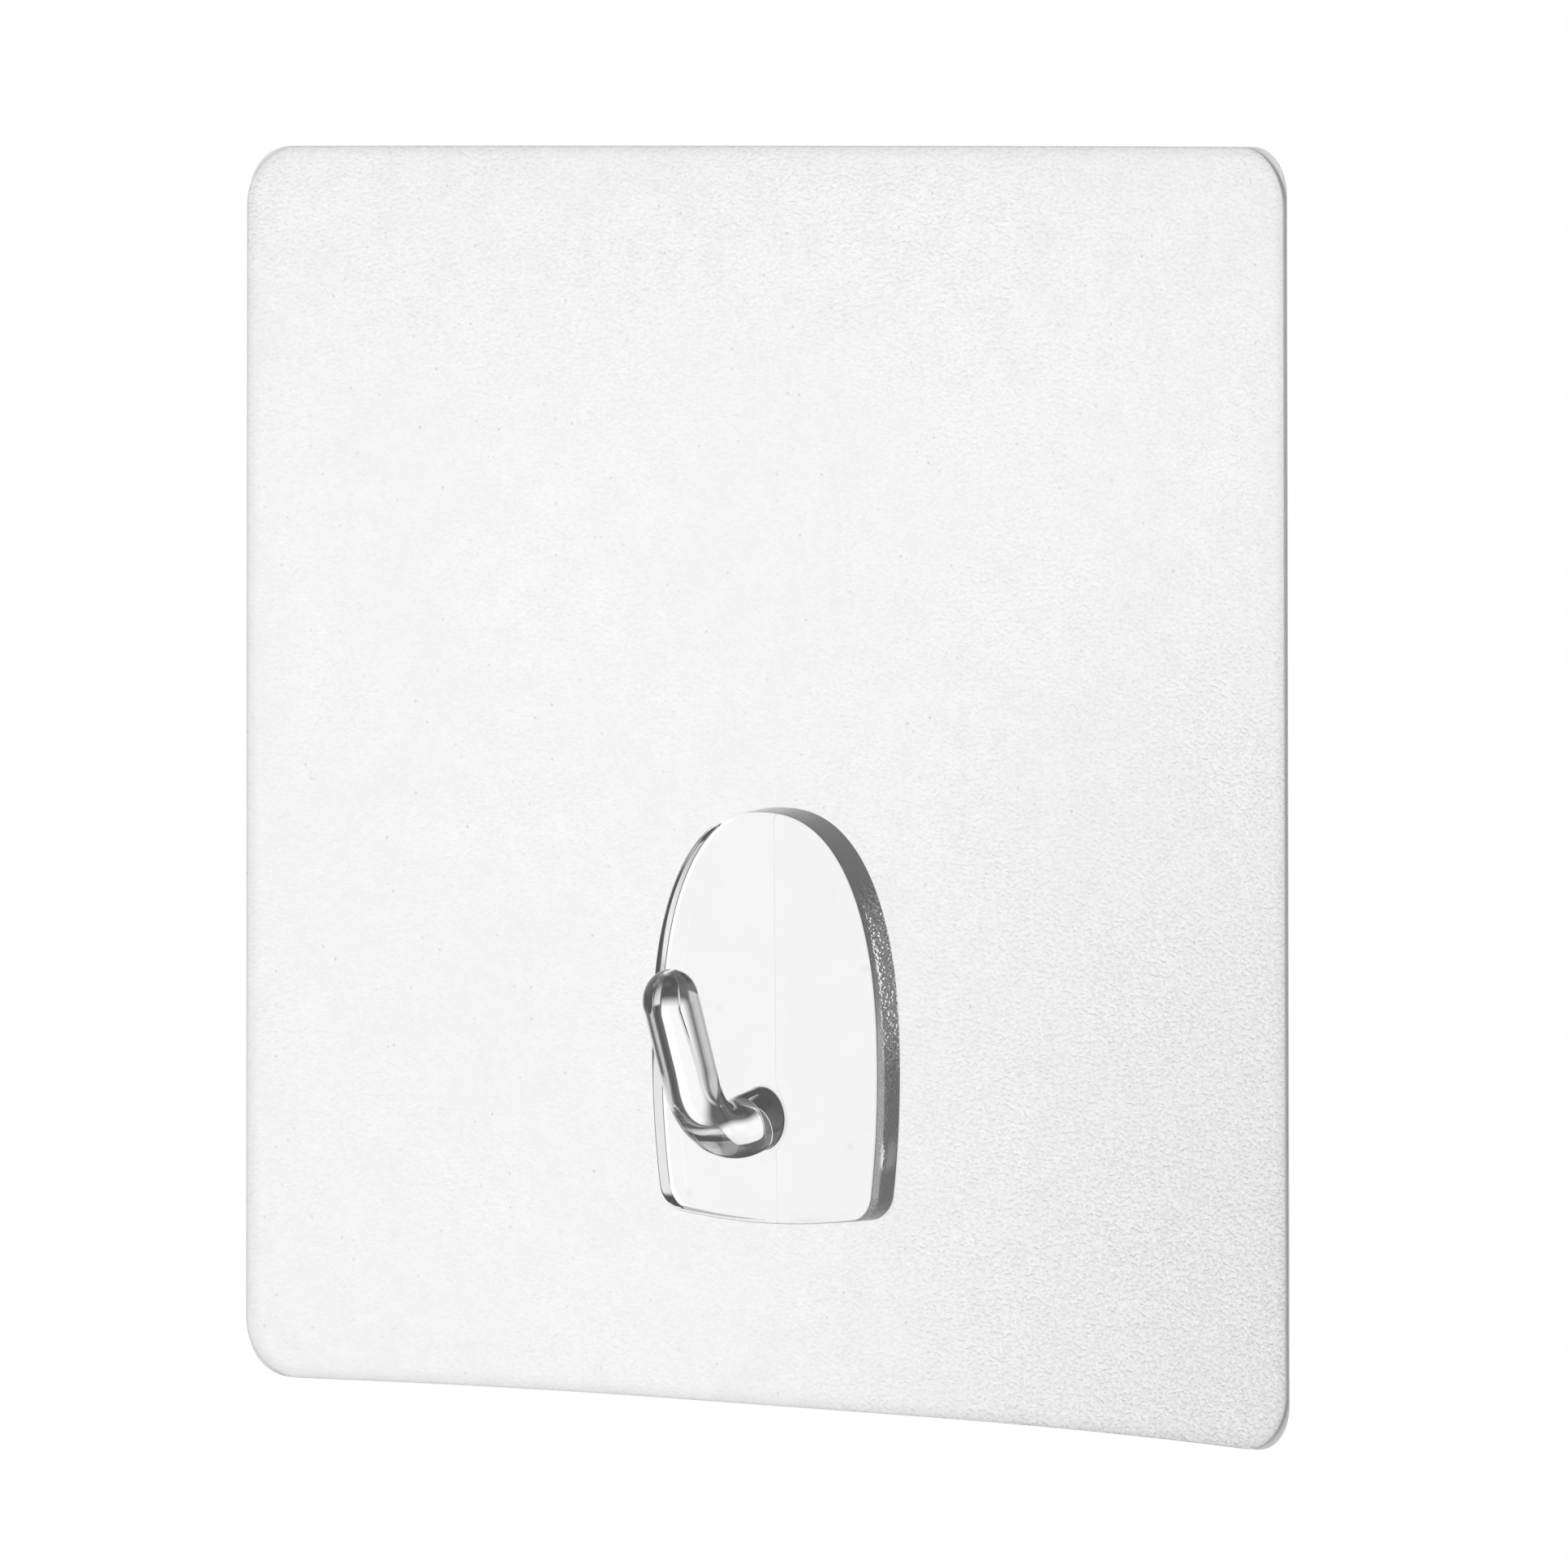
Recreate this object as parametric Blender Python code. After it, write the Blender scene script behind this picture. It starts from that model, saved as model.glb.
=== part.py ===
"""Adhesive wall hook: a clear moulded hook bonded to a square of frosted self-adhesive film.

Lengths are in metres. The wall is the plane y = 0, the hook points to -Y and up is +Z.
The origin is the middle of the adhesive's wall side, behind the middle of the film.
"""

import math

import bmesh
import bpy
from mathutils import Vector

# Film, adhesive and liner
FILM_SIDE = 0.0800
FILM_CORNER_RADIUS = 0.0038
FILM_THICKNESS = 0.00020
ADHESIVE_THICKNESS = 0.00008
ADHESIVE_INSET = 0.00020
LINER_THICKNESS = 0.00010
LINER_CORNER_RADIUS = 0.0030
LAYER_GAP = 0.00003

# Curl of the sheet: it lies flat behind the plate, and its side edges lean out to the room
FLAT_MARGIN = 0.0003
LIFT_TOP_LEFT = 0.0022
LIFT_BOTTOM_LEFT = 0.0040
LIFT_TOP_RIGHT = 0.0045
LIFT_BOTTOM_RIGHT = 0.0047

# Hook plate: a tall arch with a nearly straight foot
PLATE_HALF_WIDTH = 0.0087
PLATE_TOP = -0.0018
PLATE_WIDEST = -0.0180
PLATE_BOTTOM = -0.0282
PLATE_THICKNESS = 0.0025
CROWN_POWER = 2.4
SIDE_RADIUS = 0.0620
FOOT_RADIUS = 0.0450
FOOT_CORNER_RADIUS = 0.0020
WALL_DRAFT = 0.00015
FRONT_FILLET = 0.00022
BACK_BREAK = 0.00005
BOND_THICKNESS = 0.00020
BOND_INSET = 0.00025

# Hook arm: an oval rod that leaves the plate, bends up and ends in a dome
ARM_WIDTH = 0.0033
ARM_DEPTH = 0.0040
ARM_ROOT_Z = -0.0213
ARM_DROOP = math.radians(9.0)
ARM_STUB = 0.0017
ARM_BEND_RADIUS = 0.0063
ARM_LEAN = math.radians(22.3)
ARM_RISE = 0.0050
ARM_ROOT_FILLET = 0.00035
ARM_ROOT_DEPTH = 0.0010
ROOT_SINK = 0.00004

# Fineness of the curved faces
CURL_STEPS = 12
HEIGHT_STEPS = 8
CORNER_SEGMENTS = 5
CROWN_STEPS = 16
SIDE_STEPS = 5
FOOT_CORNER_STEPS = 6
FOOT_STEPS = 5
FILLET_STEPS = 3
ARM_SIDES = 36
ROOT_STEPS = 4
BEND_STEPS = 16
DOME_STEPS = 7
SMOOTH_ANGLE = math.radians(30.0)

# Planes of the layers, counted from the wall
FILM_BACK_Y = -(ADHESIVE_THICKNESS + LAYER_GAP)
FILM_FRONT_Y = FILM_BACK_Y - FILM_THICKNESS
PLATE_BACK_Y = FILM_FRONT_Y - BOND_THICKNESS
PLATE_FRONT_Y = PLATE_BACK_Y - PLATE_THICKNESS
LINER_FRONT_Y = LAYER_GAP

# Colours are linear
CLEAR_PLASTIC = ((0.93, 0.94, 0.94, 0.35), 0.04)
CLEAR_BOND = ((0.92, 0.92, 0.92, 0.40), 0.20)
FROSTED_FILM = ((0.84, 0.84, 0.84, 0.75), 0.45)
CLEAR_ADHESIVE = ((0.88, 0.88, 0.87, 0.40), 0.35)
LINER_PAPER = ((0.90, 0.90, 0.89, 1.00), 0.60)


def clear_scene():
    """Removes whatever the scene holds."""
    for old in list(bpy.data.objects):
        bpy.data.objects.remove(old, do_unlink=True)


def material(name, colour, roughness):
    """Plain material with the piece's own colour and gloss."""
    made = bpy.data.materials.new(name)
    made.use_nodes = True
    shader = made.node_tree.nodes["Principled BSDF"]
    shader.inputs["Base Color"].default_value = (*colour[:3], 1.0)
    shader.inputs["Alpha"].default_value = colour[3]
    shader.inputs["Roughness"].default_value = roughness
    shader.inputs["Metallic"].default_value = 0.0
    return made


def place(name, bm, look, parent, y=0.0):
    """Turns a finished mesh into a named piece at depth y under its parent."""
    bmesh.ops.recalc_face_normals(bm, faces=bm.faces)
    mesh = bpy.data.meshes.new(name)
    bm.to_mesh(mesh)
    bm.free()
    mesh.shade_smooth()
    mesh.set_sharp_from_angle(angle=SMOOTH_ANGLE)
    piece = bpy.data.objects.new(name, mesh)
    bpy.context.scene.collection.objects.link(piece)
    piece.location.y = y
    piece.parent = parent
    mesh.materials.append(material(name, *look))
    return piece


def datum(name, parent=None):
    """Empty that carries pieces."""
    empty = bpy.data.objects.new(name, None)
    empty.empty_display_size = FILM_SIDE / 8
    bpy.context.scene.collection.objects.link(empty)
    empty.parent = parent
    return empty


def loft(rings, tip=None):
    """Closed skin through matching rings of points, ending in a flat cap or at a tip."""
    bm = bmesh.new()
    loops = [[bm.verts.new(point) for point in ring] for ring in rings]
    count = len(loops[0])
    bm.faces.new(loops[0])
    for near, far in zip(loops, loops[1:]):
        for i in range(count):
            j = (i + 1) % count
            bm.faces.new((near[i], near[j], far[j], far[i]))
    if tip is None:
        bm.faces.new(loops[-1])
    else:
        point = bm.verts.new(tip)
        for i in range(count):
            bm.faces.new((loops[-1][i], loops[-1][(i + 1) % count], point))
    return bm


def curled(point):
    """Place of a sheet point once the sheet has curled, with its length along the curve kept."""
    flat_half = PLATE_HALF_WIDTH + FLAT_MARGIN
    reach = FILM_SIDE / 2 - flat_half
    beyond = max(abs(point.x) - flat_half, 0.0)
    height = point.z / FILM_SIDE + 0.5
    low, high = (LIFT_BOTTOM_LEFT, LIFT_TOP_LEFT) if point.x < 0 else (LIFT_BOTTOM_RIGHT, LIFT_TOP_RIGHT)
    lift = low + (high - low) * height
    drawn_in = (2 / 3) * lift**2 * beyond**3 / reach**4
    x = point.x - math.copysign(drawn_in, point.x)
    return Vector((x, point.y - lift * (beyond / reach) ** 2, point.z))


def sheet_cuts(half):
    """Lines that cut a sheet into facets: none across the flat strip, even ones beyond it."""
    flat_half = PLATE_HALF_WIDTH + FLAT_MARGIN
    across = [flat_half + (FILM_SIDE / 2 - flat_half) * i / CURL_STEPS for i in range(CURL_STEPS)]
    upright = [FILM_SIDE * (i / HEIGHT_STEPS - 0.5) for i in range(1, HEIGHT_STEPS)]
    planes = [((side * x, 0, 0), (1, 0, 0)) for x in across for side in (-1, 1)]
    planes += [((0, 0, z), (0, 0, 1)) for z in upright]
    return [plane for plane in planes if max(abs(plane[0][0]), abs(plane[0][2])) < half]


def curled_sheet(half, corner_radius, thickness):
    """Rounded square layer with its wall side at y = 0 before it curls."""
    bm = bmesh.new()
    signs = ((-1, -1), (1, -1), (1, 1), (-1, 1))
    corners = [bm.verts.new((half * sx, 0.0, half * sz)) for sx, sz in signs]
    bm.faces.new(corners)
    bmesh.ops.bevel(
        bm, geom=corners, offset=corner_radius, offset_type="OFFSET", affect="VERTICES",
        segments=CORNER_SEGMENTS, profile=0.5, material=-1,
    )
    for co, no in sheet_cuts(half):
        bmesh.ops.bisect_plane(bm, geom=[*bm.verts, *bm.edges, *bm.faces], plane_co=co, plane_no=no)
    bmesh.ops.triangulate(bm, faces=bm.faces[:], quad_method="FIXED", ngon_method="BEAUTY")
    front = bmesh.ops.extrude_face_region(bm, geom=bm.faces[:], use_keep_orig=True)
    front_verts = [item for item in front["geom"] if isinstance(item, bmesh.types.BMVert)]
    bmesh.ops.translate(bm, verts=front_verts, vec=(0, -thickness, 0))
    for vert in bm.verts:
        vert.co = curled(vert.co)
    return bm


def foot_corner_centre():
    """Centre of the foot's right corner arc, which touches the side arc and the foot arc."""
    side = Vector((PLATE_HALF_WIDTH - SIDE_RADIUS, PLATE_WIDEST))
    foot = Vector((0.0, PLATE_BOTTOM + FOOT_RADIUS))
    side_reach = SIDE_RADIUS - FOOT_CORNER_RADIUS
    foot_reach = FOOT_RADIUS - FOOT_CORNER_RADIUS
    span = foot - side
    along = (span.length_squared + side_reach**2 - foot_reach**2) / (2 * span.length)
    off = math.sqrt(side_reach**2 - along**2)
    ahead = span.normalized()
    return side + ahead * along + Vector((ahead.y, -ahead.x)) * off, side, foot


def arc(centre, radius, start, end, steps):
    """Points along an arc after its start point, up to its end point."""
    turns = [start + (end - start) * i / steps for i in range(1, steps + 1)]
    return [centre + radius * Vector((math.cos(a), math.sin(a))) for a in turns]


def plate_outline(inset):
    """Outline of the plate as (x, z) points, drawn in by the inset all round."""
    half = PLATE_HALF_WIDTH - inset
    crown = PLATE_TOP - inset - PLATE_WIDEST
    power = 2 / CROWN_POWER
    turns = [math.pi / 2 * i / CROWN_STEPS for i in range(CROWN_STEPS + 1)]
    right = [Vector((half * math.sin(a) ** power, PLATE_WIDEST + crown * max(math.cos(a), 0.0) ** power))
             for a in turns]
    corner, side, foot = foot_corner_centre()
    side_end = math.atan2(corner.y - side.y, corner.x - side.x)
    foot_start = math.atan2(corner.y - foot.y, corner.x - foot.x)
    right += arc(side, SIDE_RADIUS - inset, 0.0, side_end, SIDE_STEPS)
    right += arc(corner, FOOT_CORNER_RADIUS - inset, side_end, foot_start, FOOT_CORNER_STEPS)
    right += arc(foot, FOOT_RADIUS - inset, foot_start, -math.pi / 2, FOOT_STEPS)
    left = [Vector((-point.x, point.y)) for point in reversed(right[1:-1])]
    return right + left


def plate_ring(inset, y):
    """The plate's outline at one depth."""
    return [(point.x, y, point.y) for point in plate_outline(inset)]


def plate_solid():
    """Plate with a broken back edge, drafted walls and a filleted front edge."""
    rings = [plate_ring(BACK_BREAK, 0.0), plate_ring(0.0, -BACK_BREAK)]
    for i in range(FILLET_STEPS + 1):
        turn = math.pi / 2 * i / FILLET_STEPS
        inset = WALL_DRAFT + FRONT_FILLET * (1 - math.cos(turn))
        rings.append(plate_ring(inset, -PLATE_THICKNESS + FRONT_FILLET * (1 - math.sin(turn))))
    return loft(rings)


def arm_ring(centre, heading, half_width, half_depth):
    """Oval section of the arm, square to its heading in the plane x = 0."""
    upper = Vector((0.0, heading.z, -heading.y))
    ring = []
    for i in range(ARM_SIDES):
        turn = 2 * math.pi * i / ARM_SIDES
        ring.append(centre + Vector((half_width * math.cos(turn), 0, 0)) + upper * half_depth * math.sin(turn))
    return ring


def arm_heading(turned):
    """Direction of the arm after it has turned up by an angle from its drooping start."""
    rise = turned - ARM_DROOP
    return Vector((0.0, -math.cos(rise), math.sin(rise)))


def arm_solid():
    """Arm from inside the plate to its dome: filleted root, stub, bend, rise and dome."""
    half_width = ARM_WIDTH / 2
    half_depth = ARM_DEPTH / 2
    root = Vector((0.0, -PLATE_THICKNESS + ROOT_SINK, ARM_ROOT_Z))
    start = arm_heading(0.0)
    square = Vector((0.0, -1.0, 0.0))
    anchor = root - square * ARM_ROOT_DEPTH
    rings = [arm_ring(anchor, square, half_width + ARM_ROOT_FILLET, half_depth + ARM_ROOT_FILLET)]
    for i in range(ROOT_STEPS + 1):
        turn = math.pi / 2 * i / ROOT_STEPS
        out = ARM_ROOT_FILLET * (1 - math.cos(turn))
        wider = ARM_ROOT_FILLET * (1 - math.sin(turn))
        rings.append(arm_ring(root + start * out, square, half_width + wider, half_depth + wider))
    bend_start = root + start * ARM_STUB
    bend_centre = bend_start + Vector((0.0, start.z, -start.y)) * ARM_BEND_RADIUS
    total = math.pi / 2 - ARM_LEAN + ARM_DROOP
    for i in range(BEND_STEPS + 1):
        heading = arm_heading(total * i / BEND_STEPS)
        centre = bend_centre - Vector((0.0, heading.z, -heading.y)) * ARM_BEND_RADIUS
        rings.append(arm_ring(centre, heading, half_width, half_depth))
    end = centre + heading * ARM_RISE
    for i in range(DOME_STEPS):
        turn = math.pi / 2 * i / DOME_STEPS
        rings.append(arm_ring(end + heading * half_depth * math.sin(turn), heading,
                              half_width * math.cos(turn), half_depth * math.cos(turn)))
    return loft(rings, tip=end + heading * half_depth)


def make_hook_moulding(parent):
    """Plate and arm joined into the one moulding that they are."""
    moulding = place("hook_moulding", plate_solid(), CLEAR_PLASTIC, parent, PLATE_BACK_Y)
    arm = place("arm_form", arm_solid(), CLEAR_PLASTIC, parent, PLATE_BACK_Y)
    arm.hide_render = True
    arm.display_type = "WIRE"
    join = moulding.modifiers.new("arm", "BOOLEAN")
    join.operation = "UNION"
    join.solver = "EXACT"
    join.object = arm


def make_hook_bond(parent):
    """Clear bond that fills the space between the plate and the film."""
    rings = [plate_ring(BOND_INSET, 0.0), plate_ring(BOND_INSET, -BOND_THICKNESS)]
    place("hook_bond", loft(rings), CLEAR_BOND, parent, FILM_FRONT_Y)


def make_film_sheet(parent):
    """Frosted film that carries the hook."""
    film = curled_sheet(FILM_SIDE / 2, FILM_CORNER_RADIUS, FILM_THICKNESS)
    place("film_sheet", film, FROSTED_FILM, parent, FILM_BACK_Y)


def make_adhesive_layer(parent):
    """Adhesive coat on the film's wall side."""
    radius = FILM_CORNER_RADIUS - ADHESIVE_INSET
    coat = curled_sheet(FILM_SIDE / 2 - ADHESIVE_INSET, radius, ADHESIVE_THICKNESS)
    place("adhesive_layer", coat, CLEAR_ADHESIVE, parent)


def make_release_liner(parent):
    """Liner that covers the adhesive until the hook is put up, and slides off towards the wall."""
    liner = curled_sheet(FILM_SIDE / 2, LINER_CORNER_RADIUS, LINER_THICKNESS)
    place("release_liner", liner, LINER_PAPER, parent, LINER_FRONT_Y + LINER_THICKNESS)


def main():
    clear_scene()
    fixed = datum("hook_datum")
    pull = datum("liner_pull", fixed)
    make_hook_moulding(fixed)
    make_hook_bond(fixed)
    make_film_sheet(fixed)
    make_adhesive_layer(fixed)
    make_release_liner(pull)


main()
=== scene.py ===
# %% [markdown]
# # Clear adhesive wall hook on frosted film
# The object is a square of frosted film with a clear moulded hook bonded low on its
# middle, an adhesive coat on the wall side, and a paper liner over the coat.
# The fixed frame gives every piece its size and place. This lesson dresses that frame:
# it builds smoother meshes for the pieces, gives each piece a procedural finish, and sets
# up the studio. Lengths are in metres, the wall is the plane y = 0, and the hook points
# to -Y.

# %% Load the frame
import math

import bmesh
import bpy
from mathutils import Matrix, Vector


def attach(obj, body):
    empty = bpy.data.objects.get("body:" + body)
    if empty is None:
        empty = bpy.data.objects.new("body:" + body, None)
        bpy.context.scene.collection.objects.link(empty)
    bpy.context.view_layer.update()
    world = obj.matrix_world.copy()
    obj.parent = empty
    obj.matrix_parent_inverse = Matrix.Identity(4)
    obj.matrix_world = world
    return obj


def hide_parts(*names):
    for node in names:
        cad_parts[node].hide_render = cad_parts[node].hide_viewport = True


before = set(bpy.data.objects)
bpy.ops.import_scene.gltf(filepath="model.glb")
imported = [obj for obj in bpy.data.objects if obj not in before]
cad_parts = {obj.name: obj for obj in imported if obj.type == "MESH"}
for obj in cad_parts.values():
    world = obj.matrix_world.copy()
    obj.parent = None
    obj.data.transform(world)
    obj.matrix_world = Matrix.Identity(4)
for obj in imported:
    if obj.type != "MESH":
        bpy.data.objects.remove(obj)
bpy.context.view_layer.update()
MM = 0.001

# %% [markdown]
# ## Camera
# The photograph was taken with a long lens from the right of the hook and a little
# above it. Four numbers hold that view: the yaw round the upright axis, the pitch above
# the horizon, a small roll, and the distance. The film's corners and edges in the
# photograph gave them. A long lens keeps the film's sides nearly parallel.

# %% Camera at the photograph's angle
CAMERA_YAW = math.radians(33.316)
CAMERA_PITCH = math.radians(3.872)
CAMERA_ROLL = math.radians(-0.391)
CAMERA_DISTANCE = 718.44 * MM
CAMERA_AIM = Vector((0.033, 0.333)) * MM
CAMERA_LENS = 260.6
SENSOR_WIDTH = 36.0
NEAREST = 0.01
FARTHEST = 50.0
AIM_POINT = Vector((0.0, -0.31, 0.0)) * MM

back = Vector((math.sin(CAMERA_YAW) * math.cos(CAMERA_PITCH),
               -math.cos(CAMERA_YAW) * math.cos(CAMERA_PITCH),
               math.sin(CAMERA_PITCH)))
level = Vector((math.cos(CAMERA_YAW), math.sin(CAMERA_YAW), 0.0))
above = back.cross(level)
right = level * math.cos(CAMERA_ROLL) + above * math.sin(CAMERA_ROLL)
upward = above * math.cos(CAMERA_ROLL) - level * math.sin(CAMERA_ROLL)

lens = bpy.data.cameras.new("camera")
lens.lens = CAMERA_LENS
lens.sensor_width = SENSOR_WIDTH
lens.clip_start = NEAREST
lens.clip_end = FARTHEST
camera = bpy.data.objects.new("camera", lens)
bpy.context.scene.collection.objects.link(camera)
spot = AIM_POINT + back * CAMERA_DISTANCE - right * CAMERA_AIM.x - upward * CAMERA_AIM.y
turn = Matrix((right, upward, back)).transposed().to_4x4()
camera.matrix_world = Matrix.Translation(spot) @ turn
bpy.context.scene.camera = camera
print("camera at, mm:", [round(v / MM, 1) for v in spot])

# %% [markdown]
# ## Sizes of the pieces
# The numbers are those of the frame's solids: a film 80 mm square, a plate 17.4 mm wide
# and 26.4 mm tall, and an oval arm 3.3 by 4 mm. The visual pieces repeat them with finer
# curves, because light that bends through a clear moulding shows every flat facet.

# %% Sizes
FILM_SIDE = 80.0 * MM
FILM_CORNER = 3.8 * MM
FILM_THICKNESS = 0.20 * MM
COAT_THICKNESS = 0.08 * MM
COAT_INSET = 0.20 * MM
LINER_THICKNESS = 0.10 * MM
LINER_CORNER = 3.0 * MM
LAYER_GAP = 0.03 * MM
FLAT_HALF = 9.0 * MM
LIFTS = {"left": (4.0 * MM, 2.2 * MM), "right": (4.7 * MM, 4.5 * MM)}
PLATE_HALF = 8.7 * MM
PLATE_TOP = -1.8 * MM
PLATE_WIDEST = -18.0 * MM
PLATE_BOTTOM = -28.2 * MM
PLATE_THICKNESS = 2.5 * MM
CROWN_POWER = 2.4
SIDE_RADIUS = 62.0 * MM
FOOT_RADIUS = 45.0 * MM
FOOT_CORNER = 2.0 * MM
WALL_DRAFT = 0.15 * MM
FRONT_FILLET = 0.22 * MM
BACK_BREAK = 0.05 * MM
BOND_THICKNESS = 0.20 * MM
BOND_INSET = 0.25 * MM
ARM_WIDTH = 3.3 * MM
ARM_DEPTH = 4.0 * MM
ARM_ROOT_Z = -21.3 * MM
ARM_DROOP = math.radians(9.0)
ARM_STUB = 1.7 * MM
ARM_BEND = 6.3 * MM
ARM_LEAN = math.radians(22.3)
ARM_RISE = 5.0 * MM
ROOT_FILLET = 0.35 * MM
FILM_BACK_Y = -(COAT_THICKNESS + LAYER_GAP)
FILM_FRONT_Y = FILM_BACK_Y - FILM_THICKNESS
PLATE_BACK_Y = FILM_FRONT_Y - BOND_THICKNESS
PLATE_FRONT_Y = PLATE_BACK_Y - PLATE_THICKNESS
print("plate front at y =", round(PLATE_FRONT_Y / MM, 3), "mm")

# %% [markdown]
# ## Helpers that every piece uses
# A finished piece is a mesh in an object at the origin. One helper merges doubled
# points, turns the normals outwards, stores the mesh, hangs it on the body that carries
# it, hides the solid it stands for and gives it its finish. Edges sharper than
# thirty degrees stay crisp, and all others are shaded smooth.

# %% Finish a piece
MERGE = 0.0005 * MM
SHARP_EDGE = math.radians(30)


def finish_piece(name, bm, body, node, material, sharp=SHARP_EDGE):
    """Stores the mesh as a piece that rides on a body in place of a CAD node."""
    bmesh.ops.remove_doubles(bm, verts=bm.verts, dist=MERGE)
    bmesh.ops.recalc_face_normals(bm, faces=bm.faces)
    mesh = bpy.data.meshes.new(name)
    bm.to_mesh(mesh)
    bm.free()
    mesh.shade_smooth()
    mesh.set_sharp_from_angle(angle=sharp)
    piece = bpy.data.objects.new(name, mesh)
    bpy.context.scene.collection.objects.link(piece)
    mesh.materials.append(material)
    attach(piece, body)
    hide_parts(node)
    triangles = sum(len(face.vertices) - 2 for face in mesh.polygons)
    span = [round(v / MM, 2) for v in piece.dimensions]
    print(name, "-", triangles, "triangles,", span, "mm")
    return piece


def verts_of(made):
    """The vertices among what an operator returned."""
    return [item for item in made["geom"] if isinstance(item, bmesh.types.BMVert)]


def edges_of(made):
    """The edges among what an operator returned."""
    return [item for item in made["geom"] if isinstance(item, bmesh.types.BMEdge)]


print("doubled points closer than", MERGE / MM, "mm are merged")


# %% [markdown]
# ## Tools for node trees
# Grain, clouds, dust and darker rims turn up on more than one piece. Each is a shader
# node group with named inputs, built once, that puts out a value from 0 to 1. The
# functions here add nodes and return what they put out, so a finish reads from top to
# bottom. Sheets use a UV map of their flat shape, one unit to a side, so that a pattern
# follows the curl. All other pieces use object coordinates.

# %% Tools for node groups


def new_group(name, inputs, output):
    """Empty shader node group with float or vector inputs and one float output."""
    group = bpy.data.node_groups.new(name, "ShaderNodeTree")
    for label, kind, value in inputs:
        socket = group.interface.new_socket(label, in_out="INPUT", socket_type=kind)
        if value is not None:
            socket.default_value = value
    group.interface.new_socket(output, in_out="OUTPUT", socket_type="NodeSocketFloat")
    start = group.nodes.new("NodeGroupInput")
    end = group.nodes.new("NodeGroupOutput")
    return group, start.outputs, end.inputs[output]


def plug(tree, value, socket):
    """Links a socket, or sets a plain value."""
    if isinstance(value, bpy.types.NodeSocket):
        tree.links.new(value, socket)
    else:
        socket.default_value = value


def math_node(tree, operation, first, second=None, third=None, clamp=False):
    """Math node whose inputs are sockets or plain numbers; returns its output."""
    node = tree.nodes.new("ShaderNodeMath")
    node.operation = operation
    node.use_clamp = clamp
    for slot, value in enumerate((first, second, third)):
        if value is not None:
            plug(tree, value, node.inputs[slot])
    return node.outputs[0]


def vector_node(tree, operation, first, second=None, third=None):
    """Vector Math node on a socket and plain triples; returns its output."""
    node = tree.nodes.new("ShaderNodeVectorMath")
    node.operation = operation
    for slot, value in enumerate((first, second, third)):
        if value is not None:
            plug(tree, value, node.inputs[slot])
    return node.outputs["Value" if operation == "LENGTH" else "Vector"]


def product(tree, first, *others):
    """Product of several values; returns its output."""
    for other in others:
        first = math_node(tree, "MULTIPLY", first, other)
    return first


def ramp(tree, value, low, high, to_low=0.0, to_high=1.0):
    """Smooth step of a value from one range to another; returns its output."""
    node = tree.nodes.new("ShaderNodeMapRange")
    node.interpolation_type = "SMOOTHSTEP"
    labels = ("Value", "From Min", "From Max", "To Min", "To Max")
    for label, number in zip(labels, (value, low, high, to_low, to_high)):
        plug(tree, number, node.inputs[label])
    return node.outputs[0]


def fall(tree, value, low, high):
    """1 below a range, 0 above it, and a smooth step between; returns its output."""
    return ramp(tree, value, low, high, 1.0, 0.0)


def between(tree, value, begin, end):
    """1 between two soft borders, each a pair of values, and 0 outside them."""
    return product(tree, ramp(tree, value, *begin), fall(tree, value, *end))


def noise(tree, vector, scale, detail=2.0, roughness=0.5, distortion=0.0):
    """Noise texture on a vector; returns its value."""
    node = tree.nodes.new("ShaderNodeTexNoise")
    labels = ("Vector", "Scale", "Detail", "Roughness", "Distortion")
    for label, value in zip(labels, (vector, scale, detail, roughness, distortion)):
        plug(tree, value, node.inputs[label])
    return node.outputs["Fac"]


def split(tree, vector):
    """The three parts of a vector."""
    node = tree.nodes.new("ShaderNodeSeparateXYZ")
    tree.links.new(vector, node.inputs[0])
    return node.outputs[:]


def object_place(tree):
    """Object coordinates."""
    return tree.nodes.new("ShaderNodeTexCoord").outputs["Object"]


def flat_place(tree):
    """Coordinates on the flat shape of a sheet."""
    node = tree.nodes.new("ShaderNodeUVMap")
    node.uv_map = "flat"
    return node.outputs["UV"]


def place_group(tree, group, **values):
    """Group node in a material, with numbers or sockets for its inputs; returns its output."""
    node = tree.nodes.new("ShaderNodeGroup")
    node.node_tree = group
    for label, value in values.items():
        plug(tree, value, node.inputs[label])
    return node.outputs[0]


def mix_shaders(tree, factor, first, second):
    """Mixes two shaders by a factor; returns the output."""
    node = tree.nodes.new("ShaderNodeMixShader")
    for slot, socket in enumerate((factor, first, second)):
        tree.links.new(socket, node.inputs[slot])
    return node.outputs[0]


print("tools for node trees are ready")

# %% [markdown]
# ## Embossed grain
# Frosted film gets its grain from an engraved roller: pebbles about a quarter of a
# millimetre wide, a little longer one way than the other. One noise makes the pebbles and
# a finer one breaks up their tops.

# %% Grain group
GRAIN_TURN = math.radians(-12)
GRAIN_STRETCH = (0.82, 1.10, 1.0)
FINE_RATIO = 2.3
FINE_SHARE = 0.20

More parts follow.
